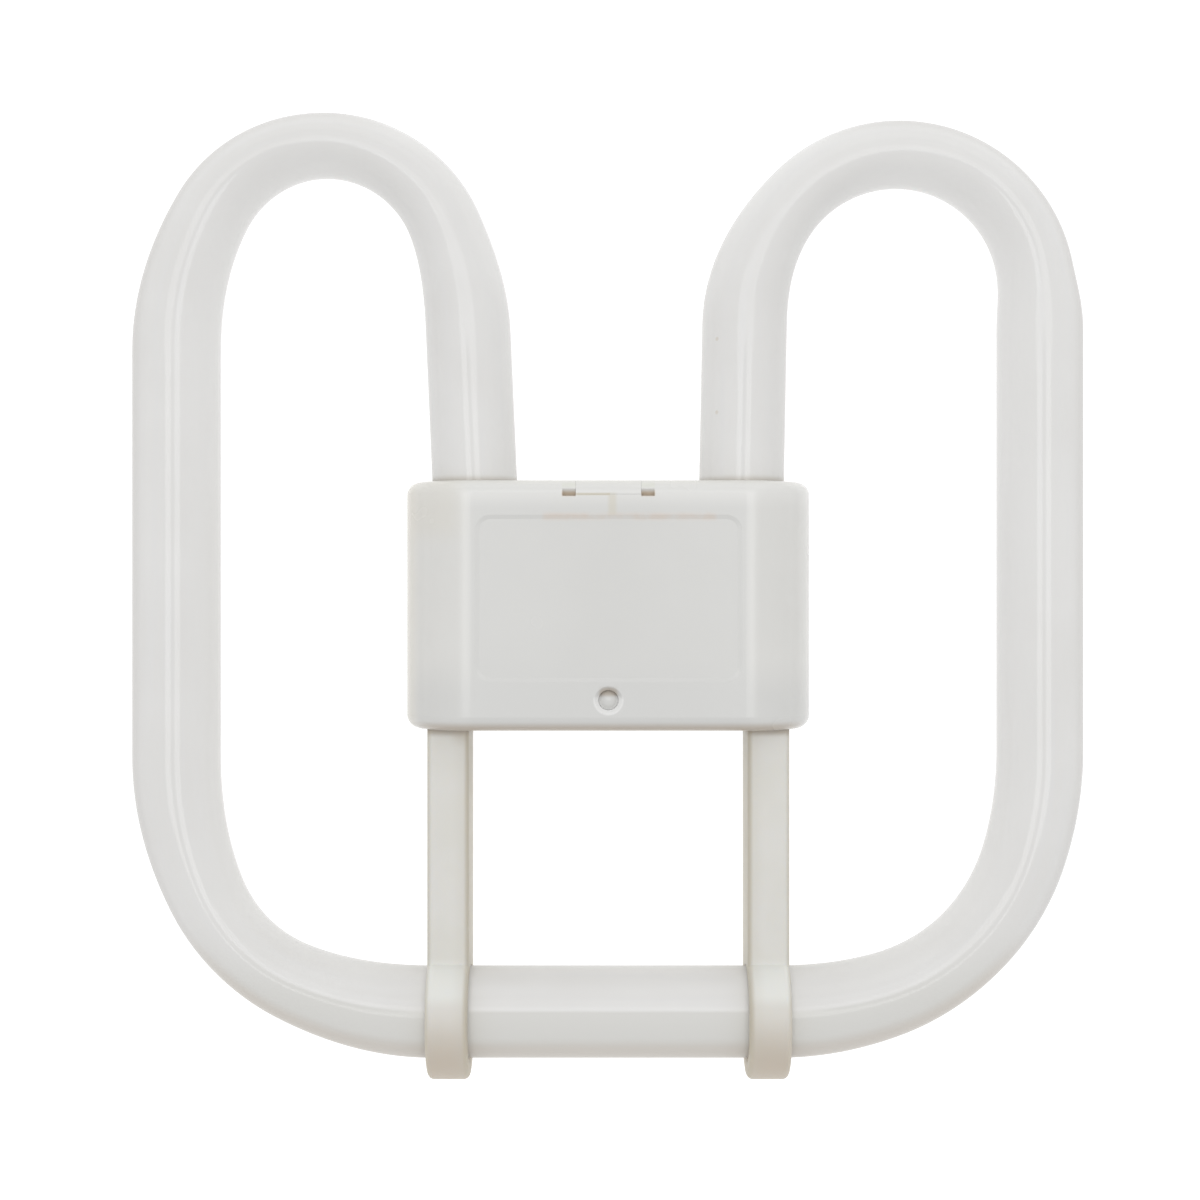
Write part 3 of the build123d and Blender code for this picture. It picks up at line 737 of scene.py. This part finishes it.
def white_floor():
    """The white sheet of a light table, lit from below, with a barely seen tooth."""
    material, tree, shader, place, _ = finish_start("white_floor")
    tooth = noise(tree, place, floor_waves)
    colour = patches(tree, tooth, floor_shades)
    roughness = ramp(tree, tooth, *floor_gloss)
    dress(tree, shader, floor_settings, colour, roughness, tooth, floor_tooth_depth)
    return material


finishes = {
    "coated_glass": coated_glass(),
    "cap_moulding": cap_moulding(),
    "arm_moulding": arm_moulding(),
    "pin_brass": pin_brass(),
    "starter_glass": starter_glass(),
}
finishes.update({name: small_finish(name, **look) for name, look in small_looks.items()})


def finish_nodes():
    """Give every carried-over node the finish of its slot in the record."""
    for part in frame["record"]["subparts"]:
        node = frame["nodes"][part["node"]]
        node.data.materials.clear()
        node.data.materials.append(finishes[part["material_slot"]])


def place_tube():
    """Set the smooth tube in the place of the tube's solid."""
    tube = glass_tube()
    tube.data.materials.append(finishes["coated_glass"])
    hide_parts("discharge_tube")
    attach(tube, "root")


# Studio


def floor_sheet():
    """The white sheet under the lamp: a flat disc whose far edge is turned up.

    At a turn t the edge lies the turn-up radius times sin t beyond the flat, and that radius
    times 1 minus cos t above it.
    """
    angle = np.linspace(0, 2 * np.pi, floor_points, endpoint=False)
    turn = np.linspace(0, np.pi / 2, floor_rings)[:, None]
    reach = floor_flat_radius + floor_turn_radius * np.sin(turn)
    x, y = reach * np.cos(angle), reach * np.sin(angle)
    z = np.broadcast_to(floor_turn_radius * (1 - np.cos(turn)), x.shape)
    rings = np.stack([x, y, z], axis=-1)
    index = np.arange(floor_rings * floor_points).reshape(floor_rings, floor_points)
    points = rings.reshape(-1, 3) * MM
    points[:, 2] += cad_low.z - floor_gap * MM
    mesh = bpy.data.meshes.new("floor_sheet")
    mesh.from_pydata(points, [], strips(index).tolist() + [index[0].tolist()])
    mesh.materials.append(white_floor())
    sheet = set_in("floor_sheet", mesh)


def soft_light(name, at, toward, size, brightness):
    """A rectangular soft light of a given brightness, aimed from one point at another, in mm."""
    lamp = bpy.data.lights.new(name, "AREA")
    lamp.shape = "RECTANGLE"
    lamp.size, lamp.size_y = size[0] * MM, size[1] * MM
    lamp.energy = brightness * np.pi * lamp.size * lamp.size_y
    holder = set_in(name, lamp)
    start, end = Vector(at) * MM, Vector(toward) * MM
    holder.location = start
    holder.rotation_euler = (end - start).to_track_quat("-Z", "Y").to_euler()


def studio():
    """A white tent: an even surround, a key light beyond the lobes, and soft lights high above.

    The two side lights leave a dark gap over the lamp's middle, so each leg shows two thin lines.
    """
    scene = bpy.context.scene
    scene.world = bpy.data.worlds.new("white_tent")
    scene.world.use_nodes = True
    surround = scene.world.node_tree.nodes["Background"]
    surround.inputs["Color"].default_value = tent_colour
    surround.inputs["Strength"].default_value = tent_brightness
    scene.view_settings.view_transform = "Standard"
    soft_light("key_light", **key_light)
    soft_light("top_light", **top_light)
    soft_light("far_light", **far_light)
    for x in (-side_light_x, side_light_x):
        soft_light("side_light", at=(x, 0, light_z), toward=(x, 0, 0), **side_light)


def camera():
    """The photograph's camera: straight above, the lamp's length up the picture."""
    lens = bpy.data.cameras.new("camera")
    lens.sensor_width = sensor_width
    lens.lens = sensor_width * camera_distance / view_width
    lens.clip_start, lens.clip_end = nearest_seen * MM, farthest_seen * MM
    holder = set_in("camera", lens)
    holder.location = Vector((*view_middle, tube_plane + camera_distance)) * MM
    bpy.context.scene.camera = holder


finish_nodes()
place_tube()
floor_sheet()
studio()
camera()
